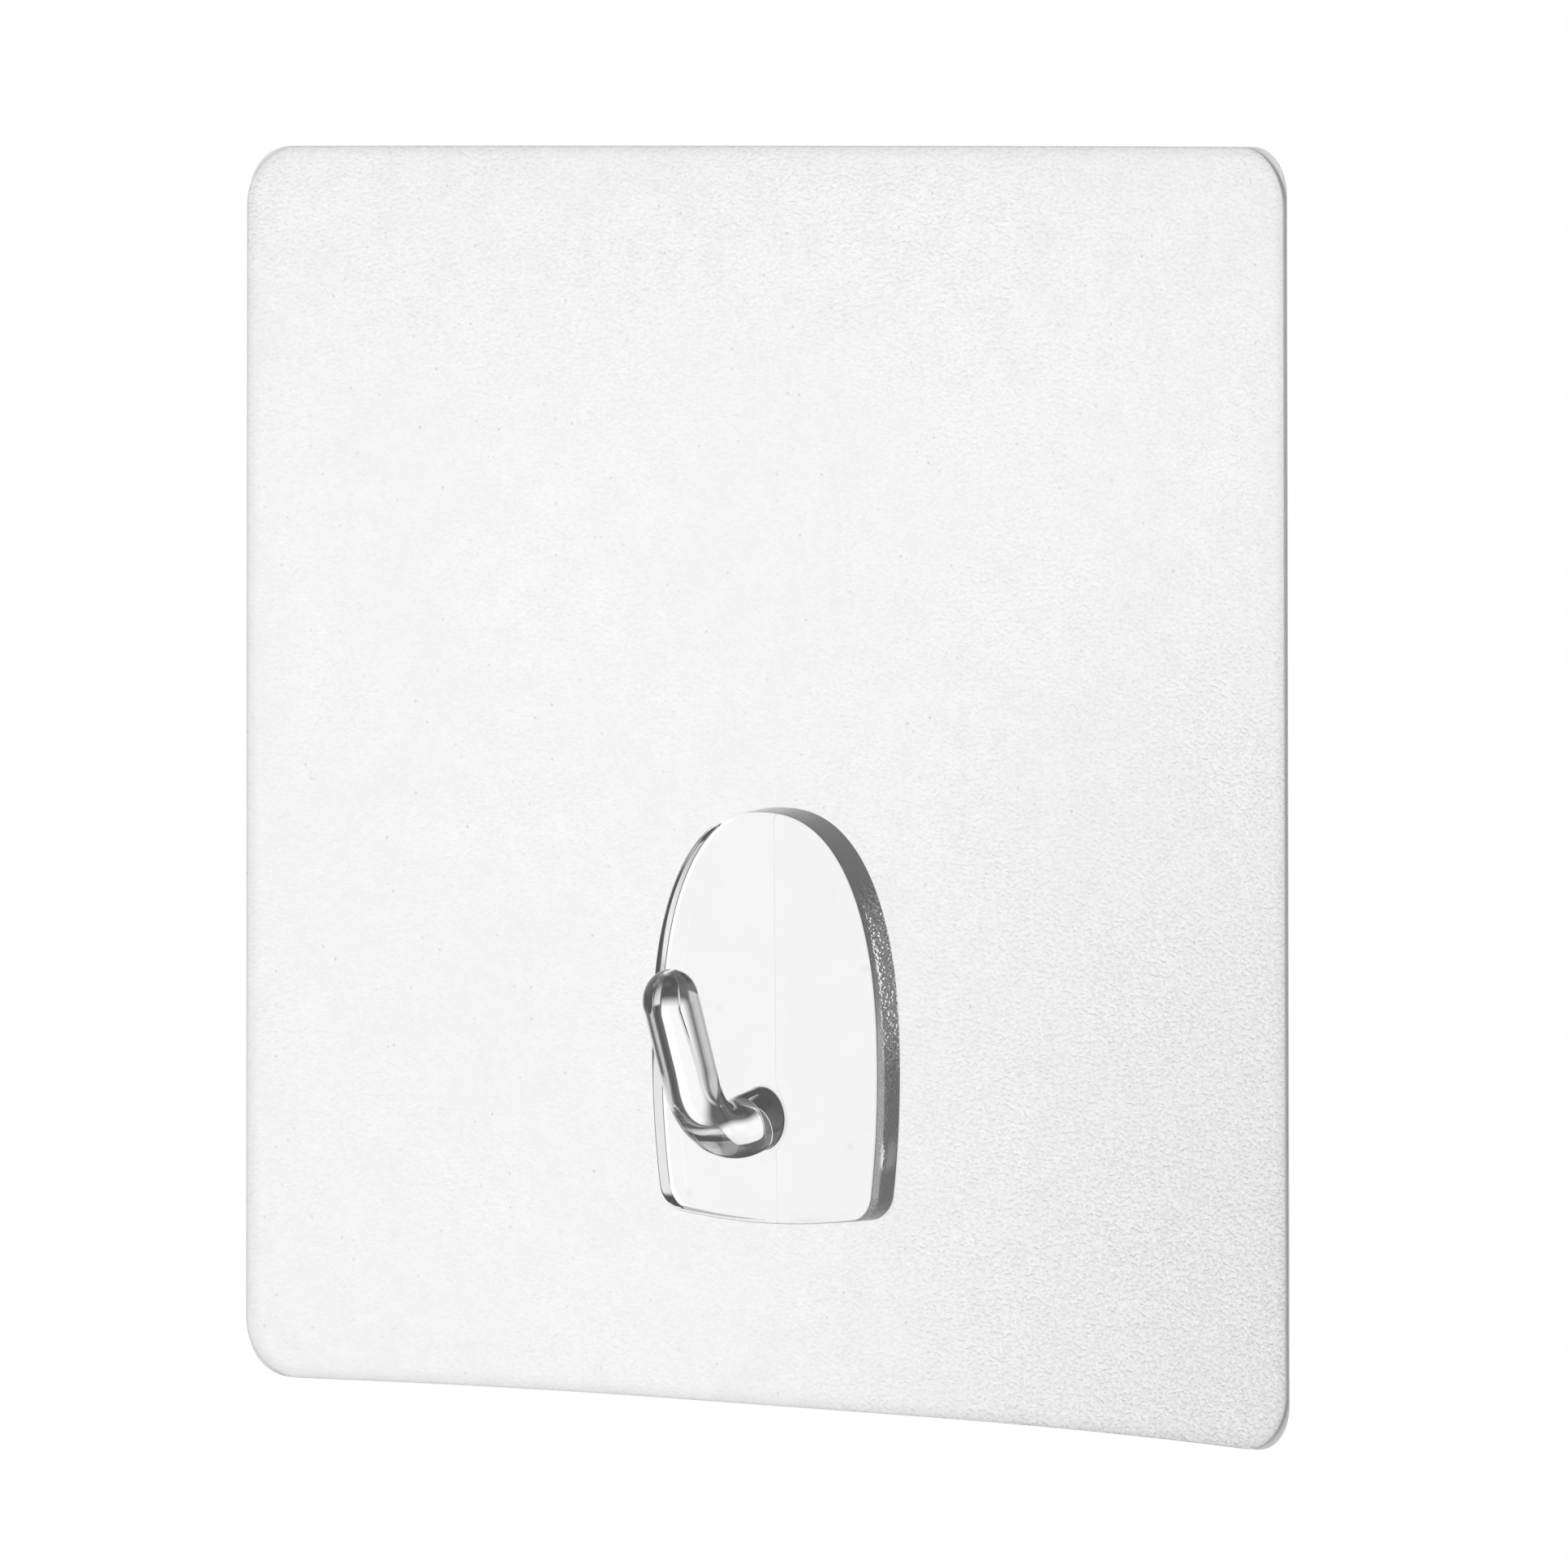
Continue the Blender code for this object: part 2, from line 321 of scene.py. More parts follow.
grain, start, height = new_group("embossed_grain", [
    ("Vector", "NodeSocketVector", None), ("Scale", "NodeSocketFloat", 310.0)], "Height")
turned = grain.nodes.new("ShaderNodeMapping")
turned.inputs["Rotation"].default_value = (0.0, 0.0, GRAIN_TURN)
turned.inputs["Scale"].default_value = GRAIN_STRETCH
grain.links.new(start["Vector"], turned.inputs["Vector"])
turned = turned.outputs[0]
coarse = noise(grain, turned, start["Scale"], detail=1.0, distortion=0.2)
fine = noise(grain, turned, product(grain, start["Scale"], FINE_RATIO), detail=1.0)
pebbled = ramp(grain, coarse, 0.25, 0.75)
grain.links.new(math_node(grain, "MULTIPLY_ADD", fine, FINE_SHARE, pebbled), height)
print("group:", grain.name)

# %% [markdown]
# ## Clouds, dust and darker rims
# No thin sheet is of one even tone, so a soft noise gives it clouds. Dust sits in some
# cells of a cell pattern, each speck of its own size. A sheet is darker along its rim,
# which on the film is painted shade, and the last group measures how far a point lies
# inside the rounded square.

# %% Cloud, speck and rim groups
cloud, start, tone = new_group("cloudy_tone", [
    ("Vector", "NodeSocketVector", None), ("Scale", "NodeSocketFloat", 5.0)], "Tone")
broad = noise(cloud, start["Vector"], start["Scale"], detail=5.0, roughness=0.62)
cloud.links.new(ramp(cloud, broad, 0.36, 0.66), tone)

specks, start, mask = new_group("dust_specks", [
    ("Vector", "NodeSocketVector", None), ("Scale", "NodeSocketFloat", 90.0),
    ("Share", "NodeSocketFloat", 0.05)], "Mask")
cells = specks.nodes.new("ShaderNodeTexVoronoi")
specks.links.new(start["Vector"], cells.inputs["Vector"])
specks.links.new(start["Scale"], cells.inputs["Scale"])
draws = specks.nodes.new("ShaderNodeSeparateColor")
specks.links.new(cells.outputs["Color"], draws.inputs["Color"])
chosen = math_node(specks, "LESS_THAN", draws.outputs[0], start["Share"])
near = fall(specks, cells.outputs["Distance"], 0.10, 0.34)
specks.links.new(product(specks, chosen, near, draws.outputs[1]), mask)

rim_group, start, mask = new_group("sheet_rim", [
    ("UV", "NodeSocketVector", None), ("Corner", "NodeSocketFloat", 0.0475),
    ("Width", "NodeSocketFloat", 0.01)], "Mask")
centred = vector_node(rim_group, "SUBTRACT", start["UV"], (0.5, 0.5, 0.0))
off_centre = split(rim_group, vector_node(rim_group, "ABSOLUTE", centred))
straight = math_node(rim_group, "SUBTRACT", 0.5, start["Corner"])
squares = []
for part in off_centre[:2]:
    past = math_node(rim_group, "SUBTRACT", part, straight)
    past = math_node(rim_group, "MAXIMUM", past, 0.0)
    squares.append(product(rim_group, past, past))
reach = math_node(rim_group, "SQRT", math_node(rim_group, "ADD", *squares))
inside = math_node(rim_group, "SUBTRACT", start["Corner"], reach)
share = math_node(rim_group, "DIVIDE", inside, start["Width"], clamp=True)
fade = math_node(rim_group, "SUBTRACT", 1.0, share)
rim_group.links.new(product(rim_group, fade, fade), mask)
print("groups:", cloud.name, specks.name, rim_group.name)

# %% [markdown]
# ## Materials that let some light straight through
# Film, coat and liner are thin and milky: seen directly they are white, but the light
# that the clear arm gathers from behind passes through them. The moulding itself lets
# the lamps' light through, so it throws no black shadow. Light that enters the plate's
# side wall runs between its two faces until the rough film spreads it, so after a few
# reflections it may leave straight away. Light Path tells these kinds of light apart.

# %% Start of a material
THROUGH_SHEET = {"Is Transmission Ray": 0.5, "Glossy Depth": 1.5}
THROUGH_BOND = {"Transmission Depth": 2.5, "Glossy Depth": 0.5}
THROUGH_PLASTIC = {"Is Shadow Ray": 0.5, "Is Diffuse Ray": 0.5, "Glossy Depth": 2.5}


def new_material(name):
    """Empty material with its shader and node tree."""
    made = bpy.data.materials.new(name)
    made.use_nodes = True
    return made, made.node_tree.nodes["Principled BSDF"], made.node_tree


def pass_through(tree, shader, limits):
    """Lets a ray straight through where a Light Path output is above its limit."""
    path = tree.nodes.new("ShaderNodeLightPath")
    factor = None
    for name, limit in limits.items():
        over = math_node(tree, "GREATER_THAN", path.outputs[name], limit)
        factor = over if factor is None else math_node(tree, "MAXIMUM", factor, over)
    clear = tree.nodes.new("ShaderNodeBsdfTransparent")
    mixed = mix_shaders(tree, factor, shader.outputs["BSDF"], clear.outputs["BSDF"])
    tree.links.new(mixed, tree.nodes["Material Output"].inputs["Surface"])


def seen_directly(tree):
    """1 for rays of the camera, of reflections and of refractions."""
    path = tree.nodes.new("ShaderNodeLightPath")
    seen = math_node(tree, "MAXIMUM", path.outputs["Is Camera Ray"], path.outputs["Is Glossy Ray"])
    return math_node(tree, "MAXIMUM", seen, path.outputs["Is Transmission Ray"])


def colour_of(value):
    """A colour with full alpha, from a grey level or from three parts."""
    return (value, value, value, 1.0) if isinstance(value, float) else (*value, 1.0)


def two_tone(tree, factor, low, high):
    """Mixes two greys or colours by a factor; returns the colour."""
    mix = tree.nodes.new("ShaderNodeMix")
    mix.data_type = "RGBA"
    tree.links.new(factor, mix.inputs[0])
    mix.inputs["A"].default_value = colour_of(low)
    mix.inputs["B"].default_value = colour_of(high)
    return mix.outputs["Result"]


def darken(tree, colour, factor, amount):
    """Darkens a colour by an amount where the factor is 1; returns the colour."""
    mix = tree.nodes.new("ShaderNodeMix")
    mix.data_type = "RGBA"
    mix.blend_type = "MULTIPLY"
    tree.links.new(factor, mix.inputs[0])
    tree.links.new(colour, mix.inputs["A"])
    mix.inputs["B"].default_value = colour_of(1.0 - amount)
    return mix.outputs["Result"]


def bump(tree, shader, height, distance, strength=1.0):
    """Feeds a height into the shader's normal."""
    node = tree.nodes.new("ShaderNodeBump")
    node.inputs["Distance"].default_value = distance
    node.inputs["Strength"].default_value = strength
    tree.links.new(height, node.inputs["Height"])
    tree.links.new(node.outputs["Normal"], shader.inputs["Normal"])


print("light that the sheets let through:", list(THROUGH_SHEET))

# %% [markdown]
# ## Clear plastic
# The hook is moulded in clear plastic with an index of refraction near 1.49. A shader
# that only lowers alpha would lose the dark outlines that make it look solid, so the
# Principled shader transmits all light and bends it at each face.
# The mould leaves marks: a hairline where its halves meet, in the plane x = 0, a patch of
# glitter on the right wall over fine satin, a dull strip in front of both, two low
# swellings that catch the light, a shoulder that darkens the crown's left outline, and a
# haze on the right half of the front. They are too slight for the mesh, so they are
# relief and roughness. Dust tints the plastic, and a thin dark line of painted shadow
# runs along the foot.

# %% Clear plastic
PLASTIC_INDEX = 1.49
DULL_ROUGHNESS = 0.70
HAZE_ROUGHNESS = 0.26
# How dark the painted shadow along the foot is
FOOT_PAINTED_SHADOW = 0.75
# Sizes of the marks, in millimetres
PARTING_HALF = 0.045
PARTING_HEIGHT = 0.011
WAVE_HEIGHT = 0.002
GLITTER_HEIGHT = 0.90
SATIN_HEIGHT = 0.13
SHOULDER_HEIGHT = 0.155
SWELL_HEIGHT = 0.36

clear_plastic, shader, tree = new_material("clear_plastic")
pass_through(tree, shader, THROUGH_PLASTIC)
shader.inputs["IOR"].default_value = PLASTIC_INDEX
shader.inputs["Transmission Weight"].default_value = 1.0

# Place in millimetres: to the right, in from the plate's front, and up
where = object_place(tree)
across, depth, height = split(tree, where)
across = math_node(tree, "DIVIDE", across, MM)
depth = math_node(tree, "DIVIDE", math_node(tree, "SUBTRACT", depth, PLATE_FRONT_Y), MM)
height = math_node(tree, "DIVIDE", height, MM)
right_wall = ramp(tree, across, 5.0, 5.5)
left_wall = fall(tree, across, -4.5, -2.5)

patch = product(tree, right_wall, between(tree, depth, (0.60, 0.72), (2.36, 2.42)),
                between(tree, height, (-20.5, -13.0), (-11.0, -5.5)))
satin_zone = product(tree, right_wall, between(tree, depth, (0.22, 0.33), (2.36, 2.42)),
                     ramp(tree, depth, 0.60, 1.40, 1.0, 0.35), fall(tree, height, -11.0, -6.0))
low_swell = between(tree, height, (-24.7, -23.7), (-23.4, -21.8))
high_swell = between(tree, height, (-14.5, -12.0), (-11.0, -8.5))
swellings = product(tree, right_wall, between(tree, depth, (0.60, 1.15), (1.20, 2.50)),
                    math_node(tree, "ADD", low_swell, high_swell))
shoulder = product(tree, left_wall, between(tree, depth, (0.03, 0.25), (0.20, 1.50)),
                   ramp(tree, height, -20.0, -14.0))
dull_strip = product(tree, right_wall, between(tree, depth, (0.08, 0.20), (0.75, 1.05)),
                     fall(tree, height, -17.0, -7.0), ramp(tree, height, -27.6, -25.6, 0.45, 1.0))
haze = product(tree, between(tree, depth, (-0.12, -0.02), (0.01, 0.05)),
               ramp(tree, across, 1.2, 2.8))

squashed = vector_node(tree, "MULTIPLY", where, (1.0, 0.55, 1.0))
glitter = math_node(tree, "SUBTRACT", noise(tree, squashed, 4600.0, detail=1.0), 0.5)
satin = math_node(tree, "SUBTRACT", noise(tree, squashed, 11000.0, detail=0.0), 0.5)
off_plane = math_node(tree, "ABSOLUTE", across)
relief = ramp(tree, off_plane, 0.0, PARTING_HALF, PARTING_HEIGHT, 0.0)
marks = [(noise(tree, where, 700.0, detail=1.0), WAVE_HEIGHT),
         (product(tree, glitter, patch), GLITTER_HEIGHT),
         (product(tree, satin, satin_zone), SATIN_HEIGHT),
         (shoulder, SHOULDER_HEIGHT),
         (swellings, SWELL_HEIGHT)]
for mark, tall in marks:
    relief = math_node(tree, "MULTIPLY_ADD", mark, tall, relief)
bump(tree, shader, relief, MM)

dulled = math_node(tree, "MAXIMUM", product(tree, dull_strip, DULL_ROUGHNESS),
                   product(tree, haze, HAZE_ROUGHNESS))
tree.links.new(dulled, shader.inputs["Roughness"])

dust = place_group(tree, specks, Vector=where, Scale=900.0, Share=0.05)
tint = two_tone(tree, dust, 0.995, 0.80)
# A thin line along the foot is painted darker in the plastic's colour: a painted shadow.
foot_centre = (0.0, 0.0, -(PLATE_BOTTOM + FOOT_RADIUS))
from_foot = vector_node(tree, "MULTIPLY_ADD", where, (1.0, 0.0, 1.0), foot_centre)
foot_reach = vector_node(tree, "LENGTH", from_foot)
foot_painted_shadow = ramp(tree, foot_reach, FOOT_RADIUS - 0.27 * MM, FOOT_RADIUS - 0.19 * MM)
tree.links.new(darken(tree, tint, foot_painted_shadow, FOOT_PAINTED_SHADOW), shader.inputs["Base Color"])
print("material:", clear_plastic.name, "with", len(marks) + 1, "marks in relief")

# %% [markdown]
# ## Plate outline
# The plate is a tall arch: a crown that flattens towards the top, nearly straight sides
# that lean in, two small rounded corners and a foot that sags by half a millimetre.
# Each arc comes from spinning one point about the arc's centre. The crown is a
# superellipse, which no operator makes, so a spun quarter circle is reshaped into it.

# %% Plate outline
CROWN_STEPS = 48
SIDE_STEPS = 24
CORNER_STEPS = 14
FOOT_STEPS = 20


def spin_point(bm, point, centre, angle, steps):
    """Spins one point into an arc in the plane of the plate, and returns its last point."""
    made = bmesh.ops.spin(bm, geom=[point], cent=centre, axis=(0, 1, 0), angle=angle,
                          steps=steps, use_merge=False, use_duplicate=False)
    return [item for item in made["geom_last"] if isinstance(item, bmesh.types.BMVert)][0]


def turn_between(centre, start, end):
    """Angle about +Y that carries the start point to the end point round the centre."""
    a, b = start - centre, end - centre
    return math.atan2(a.z * b.x - a.x * b.z, a.x * b.x + a.z * b.z)


def foot_corner_centre():
    """Centres of the corner arc, the side arc and the foot arc on the right."""
    side = Vector((PLATE_HALF - SIDE_RADIUS, 0, PLATE_WIDEST))
    foot = Vector((0, 0, PLATE_BOTTOM + FOOT_RADIUS))
    side_reach = SIDE_RADIUS - FOOT_CORNER
    foot_reach = FOOT_RADIUS - FOOT_CORNER
    span = foot - side
    along = (span.length_squared + side_reach**2 - foot_reach**2) / (2 * span.length)
    off = math.sqrt(side_reach**2 - along**2)
    ahead = span.normalized()
    return side + ahead * along + Vector((ahead.z, 0, -ahead.x)) * off, side, foot


def plate_outline(bm):
    """Closed outline of the plate in the plane y = 0; returns its edges."""
    crown = PLATE_TOP - PLATE_WIDEST
    power = 2 / CROWN_POWER
    widest = Vector((0, 0, PLATE_WIDEST))
    top = bm.verts.new(widest + Vector((0, 0, 1)))
    last = spin_point(bm, top, widest, math.pi / 2, CROWN_STEPS)
    for vert in bm.verts:
        across, rise = max(vert.co.x, 0.0), max(vert.co.z - PLATE_WIDEST, 0.0)
        vert.co = widest + Vector((PLATE_HALF * across**power, 0, crown * rise**power))
    last.co = widest + Vector((PLATE_HALF, 0, 0))
    corner, side, foot = foot_corner_centre()
    side_end = corner + (corner - side).normalized() * FOOT_CORNER
    foot_start = corner + (corner - foot).normalized() * FOOT_CORNER
    foot_end = Vector((0, 0, PLATE_BOTTOM))
    last = spin_point(bm, last, side, turn_between(side, last.co, side_end), SIDE_STEPS)
    last = spin_point(bm, last, corner, turn_between(corner, last.co, foot_start), CORNER_STEPS)
    last = spin_point(bm, last, foot, turn_between(foot, last.co, foot_end), FOOT_STEPS)
    last.co.x = 0.0
    top.co.x = 0.0
    bmesh.ops.mirror(bm, geom=[*bm.verts, *bm.edges], axis="X", merge_dist=MERGE)
    bmesh.ops.remove_doubles(bm, verts=bm.verts, dist=MERGE)
    return list(bm.edges)


test = bmesh.new()
plate_outline(test)
print("outline points:", len(test.verts), "edges:", len(test.edges))
test.free()

# %% [markdown]
# ## Plate
# The outline becomes a face, and each inset of that face with a depth makes one band of
# the wall: first the tall drafted wall, then the small steps of the front fillet. The
# edges left open at the back are drawn in a little and closed.

# %% Plate skin
FILLET_STEPS = 8
FLAT_RING = 0.08 * MM


def plate_skin(bm, back_y):
    """Plate without its front face; returns the edges round the front opening."""
    edges = plate_outline(bm)
    bmesh.ops.translate(bm, verts=bm.verts, vec=(0, back_y - BACK_BREAK, 0))
    bmesh.ops.edgeloop_fill(bm, edges=edges)
    face = bm.faces[:][0]
    if face.normal.y > 0:
        bmesh.ops.reverse_faces(bm, faces=[face])
    bands = [(WALL_DRAFT, PLATE_THICKNESS - FRONT_FILLET - BACK_BREAK)]
    for i in range(FILLET_STEPS):
        a, b = (math.pi / 2 * j / FILLET_STEPS for j in (i, i + 1))
        bands.append((FRONT_FILLET * (math.cos(a) - math.cos(b)),
                      FRONT_FILLET * (math.sin(b) - math.sin(a))))
    bands.append((FLAT_RING, 0))
    for thickness, depth in bands:
        bmesh.ops.inset_region(bm, faces=[face], thickness=thickness, depth=depth,
                               use_boundary=True, use_even_offset=True)
    bmesh.ops.delete(bm, geom=[face], context="FACES_ONLY")
    middle_y = back_y - PLATE_THICKNESS / 2
    open_edges = [edge for edge in bm.edges if edge.is_boundary]
    rim = [edge for edge in open_edges if edge.verts[0].co.y < middle_y]
    foot = [edge for edge in open_edges if edge.verts[0].co.y > middle_y]
    made = bmesh.ops.extrude_edge_only(bm, edges=foot)
    behind = verts_of(made)
    middle = Vector((0, 0, (PLATE_TOP + PLATE_BOTTOM) / 2))
    tall = (PLATE_TOP - PLATE_BOTTOM) / 2
    bmesh.ops.translate(bm, verts=behind, vec=-middle)
    bmesh.ops.scale(bm, verts=behind, vec=(1 - BACK_BREAK / PLATE_HALF, 1, 1 - BACK_BREAK / tall))
    bmesh.ops.translate(bm, verts=behind, vec=middle + Vector((0, BACK_BREAK, 0)))
    fresh = set(behind)
    bmesh.ops.edgeloop_fill(bm, edges=[e for e in edges_of(made) if set(e.verts) <= fresh])
    return rim


test = bmesh.new()
print("open edges round the plate's front:", len(plate_skin(test, PLATE_BACK_Y)))
test.free()


# %% [markdown]
# ## Arm
# The arm leaves the plate with a small fillet, droops by nine degrees, bends up through
# ninety degrees less its lean, and ends in a dome. The elbow is tighter on its inner side
# than on its outer side, which breaks the light in it into two windows. The arm is one
# oval ring that grows: each step extrudes the ring and lays the new one on the next
# station of the arm's path.

# %% Arm skin
ARM_SIDES = 96
ROOT_STEPS = 8
BEND_STEPS = 64
DOME_STEPS = 24
ELBOW_NIP = 0.32 * MM


def arm_stations():
    """Stations of the arm: middle, heading, half width and half depth of each ring."""
    half_width, half_depth = ARM_WIDTH / 2, ARM_DEPTH / 2
    root = Vector((0, PLATE_FRONT_Y, ARM_ROOT_Z))
    square = Vector((0, -1, 0))
    start = Vector((0, -math.cos(ARM_DROOP), -math.sin(ARM_DROOP)))
    outer = ROOT_FILLET + FLAT_RING
    stations = [(root, square, half_width + outer, half_depth + outer)]
    for i in range(ROOT_STEPS + 1):
        turn = math.pi / 2 * i / ROOT_STEPS
        out = ROOT_FILLET * (1 - math.cos(turn))
        wider = ROOT_FILLET * (1 - math.sin(turn))
        stations.append((root + start * out, square, half_width + wider, half_depth + wider))
    bend_start = root + start * ARM_STUB
    bend_centre = bend_start + Vector((0, start.z, -start.y)) * ARM_BEND
    total = math.pi / 2 - ARM_LEAN + ARM_DROOP
    for i in range(BEND_STEPS + 1):
        rise = total * i / BEND_STEPS - ARM_DROOP
        heading = Vector((0, -math.cos(rise), math.sin(rise)))
        middle = bend_centre - Vector((0, heading.z, -heading.y)) * ARM_BEND
        nip = ELBOW_NIP * math.sin(math.pi * i / BEND_STEPS) ** 2
        outwards = (middle - bend_centre).normalized()
        stations.append((middle + outwards * nip, heading, half_width, half_depth - nip))
    end = middle + heading * ARM_RISE
    for i in range(DOME_STEPS):
        turn = math.pi / 2 * i / DOME_STEPS
        stations.append((end + heading * half_depth * math.sin(turn), heading,
                         half_width * math.cos(turn), half_depth * math.cos(turn)))
    return stations, end + heading * half_depth


def lay_ring(ring, station):
    """Lays a ring, a dictionary of each vertex and its place on a unit circle."""
    middle, heading, half_width, half_depth = station
    upper = Vector((0, heading.z, -heading.y))
    for vert, (across, up) in ring.items():
        vert.co = middle + Vector((half_width * across, 0, 0)) + upper * half_depth * up


def arm_skin(bm):
    """Skin of the arm, open at the plate's front face; returns its root edges."""
    stations, tip = arm_stations()
    made = bmesh.ops.create_circle(bm, cap_ends=False, radius=1.0, segments=ARM_SIDES)
    ring = {vert: (vert.co.x, vert.co.y) for vert in made["verts"]}
    edges = [edge for edge in bm.edges if edge.verts[0] in ring and edge.verts[1] in ring]
    root_edges = list(edges)
    lay_ring(ring, stations[0])
    for station in stations[1:]:
        made = bmesh.ops.extrude_edge_only(bm, edges=edges)
        edges = [e for e in edges_of(made) if e.verts[0] not in ring and e.verts[1] not in ring]
        fresh = {}
        for vert in verts_of(made):
            for edge in vert.link_edges:
                if edge.other_vert(vert) in ring:
                    fresh[vert] = ring[edge.other_vert(vert)]
        ring = fresh
        lay_ring(ring, station)
    cap = bm.verts.new(tip)
    for edge in edges:
        bm.faces.new((edge.verts[0], edge.verts[1], cap))
    return root_edges


print("stations along the arm:", len(arm_stations()[0]))


# %% [markdown]
# ## Hook moulding
# Plate and arm come out of one mould as one body, and light runs through them as one. So
# a band of triangles in the flat front joins the plate's opening to the arm's root ring.
# Weighted normals keep that front flat beside its small fillets.

# %% Hook moulding
FILLET_EDGE = math.radians(50)

moulding_mesh = bmesh.new()
rim = plate_skin(moulding_mesh, PLATE_BACK_Y)
root = arm_skin(moulding_mesh)
bmesh.ops.triangle_fill(moulding_mesh, use_beauty=True, use_dissolve=False, edges=rim + root)
moulding = finish_piece("moulding", moulding_mesh, "hook", "hook_moulding",
                        clear_plastic, sharp=FILLET_EDGE)
weighted = moulding.modifiers.new("even_shading", "WEIGHTED_NORMAL")
weighted.mode = "FACE_AREA"
weighted.weight = 100
weighted.keep_sharp = True

# %% [markdown]
# ## Bond
# A clear bond fills the space between the plate and the film. It wets the film's grain,
# so the film looks smooth under the plate. Its outline is the plate's, drawn in a little,
# and a hundredth of a millimetre of air keeps its faces clear of its neighbours.

# %% Bond
AIR = 0.01 * MM

bond_look, shader, tree = new_material("clear_bond")
pass_through(tree, shader, THROUGH_BOND)
where = object_place(tree)
clouds = place_group(tree, cloud, Vector=where, Scale=220.0)
colour = two_tone(tree, clouds, 0.965, 0.985)
dust = place_group(tree, specks, Vector=where, Scale=1500.0, Share=0.03)
tree.links.new(darken(tree, colour, dust, 0.10), shader.inputs["Base Color"])
tree.links.new(ramp(tree, clouds, 0.0, 1.0, 0.30, 0.42), shader.inputs["Roughness"])
bump(tree, shader, clouds, 0.01 * MM, 0.3)

bond_mesh = bmesh.new()
edges = plate_outline(bond_mesh)
bmesh.ops.edgeloop_fill(bond_mesh, edges=edges)
face = bond_mesh.faces[:][0]
made = bmesh.ops.inset_region(bond_mesh, faces=[face], thickness=BOND_INSET, depth=0,
                              use_boundary=True, use_even_offset=True)
bmesh.ops.delete(bond_mesh, geom=made["faces"], context="FACES")
bond_mesh.faces.ensure_lookup_table()
made = bmesh.ops.extrude_face_region(bond_mesh, geom=bond_mesh.faces[:], use_keep_orig=True)
bmesh.ops.translate(bond_mesh, verts=verts_of(made), vec=(0, -(BOND_THICKNESS - 2 * AIR), 0))
bmesh.ops.translate(bond_mesh, verts=bond_mesh.verts, vec=(0, FILM_FRONT_Y - AIR, 0))
bond = finish_piece("bond", bond_mesh, "hook", "hook_bond", bond_look)

# %% [markdown]
# ## Frosted film
# The film is embossed with a fine leather-like grain that scatters light and hides the
# adhesive. The grain is far finer than the mesh, so it is a bump. It is deepest at the
# lower right, where painted shade also makes the film a little greyer, and almost gone
# in the middle. The grain's hollows get painted shade, a faint painted shade lies along
# the top, clouds of three sizes mottle it, and bands of painted shade darken its rim.

# %% Frosted film
GRAIN_HEIGHT = 0.130 * MM
# How deep the grain is everywhere, and what each zone adds
DEPTH_EVERYWHERE = 0.12
DEPTH_LOW_RIGHT = 0.75
DEPTH_CLOUDS = 0.18
DEPTH_TOP = 0.22
# How much darker each effect makes the film
MOTTLE_SHADE = 0.03
FINE_MOTTLE_SHADE = 0.022
LOW_RIGHT_PAINTED_SHADE = 0.030
PIT_LEVEL = 0.6
PIT_PAINTED_SHADE = 0.28
TOP_PAINTED_SHADE = 0.008
DUST_SHADE = 0.22
# Width of each band of painted shade along the rim, as a share of the film's side, and its shade
RIM_PAINTED_SHADE_BANDS = ((0.20, 0.04), (0.014, 0.18), (0.0025, 0.22))

film_look, shader, tree = new_material("frosted_film")
pass_through(tree, shader, THROUGH_SHEET)
flat = flat_place(tree)
across, up, _ = split(tree, flat)
low_right = product(tree, ramp(tree, across, 0.30, 1.08), fall(tree, up, 0.0, 1.05))
top_band = ramp(tree, up, 0.70, 0.98)
grained = place_group(tree, grain, Vector=flat)
clouds = place_group(tree, cloud, Vector=flat, Scale=5.0)
mottle = place_group(tree, cloud, Vector=flat, Scale=26.0)
fine_mottle = place_group(tree, cloud, Vector=flat, Scale=110.0)
dust = place_group(tree, specks, Vector=flat, Scale=190.0, Share=0.06)
depth = math_node(tree, "MULTIPLY_ADD", low_right, DEPTH_LOW_RIGHT, DEPTH_EVERYWHERE)
depth = math_node(tree, "MULTIPLY_ADD", clouds, DEPTH_CLOUDS, depth)
depth = math_node(tree, "MULTIPLY_ADD", top_band, DEPTH_TOP, depth)
bump(tree, shader, product(tree, grained, depth), GRAIN_HEIGHT)

# The grain's hollows are painted darker than its tops: painted shade.
painted_pit_shade = product(tree, math_node(tree, "SUBTRACT", PIT_LEVEL, grained), depth)
# The lower right, the top band, the hollows and the rim bands are painted shade; mottle and dust
# are the film's own tone.
shades = [(mottle, MOTTLE_SHADE), (fine_mottle, FINE_MOTTLE_SHADE), (low_right, LOW_RIGHT_PAINTED_SHADE),
          (painted_pit_shade, PIT_PAINTED_SHADE), (top_band, TOP_PAINTED_SHADE), (dust, DUST_SHADE)]
# Bands of painted shade make the film darker towards its edge.
for width, shade in RIM_PAINTED_SHADE_BANDS:
    band = place_group(tree, rim_group, UV=flat, Corner=FILM_CORNER / FILM_SIDE, Width=width)
    shades.append((band, shade))
colour = two_tone(tree, clouds, 0.942, 0.974)
for mask, shade in shades:
    colour = darken(tree, colour, mask, shade)
tree.links.new(colour, shader.inputs["Base Color"])
tree.links.new(ramp(tree, mottle, 0.0, 1.0, 0.42, 0.55), shader.inputs["Roughness"])
print("material:", film_look.name, "with", len(shades), "shades")

# %% [markdown]
# ## Cut edges
# The sheets are die cut. The cut shows a little of the clear film body and is painted
# greyer than the faces with painted shade as well, and it gets a finish of its own.

# %% Cut edges


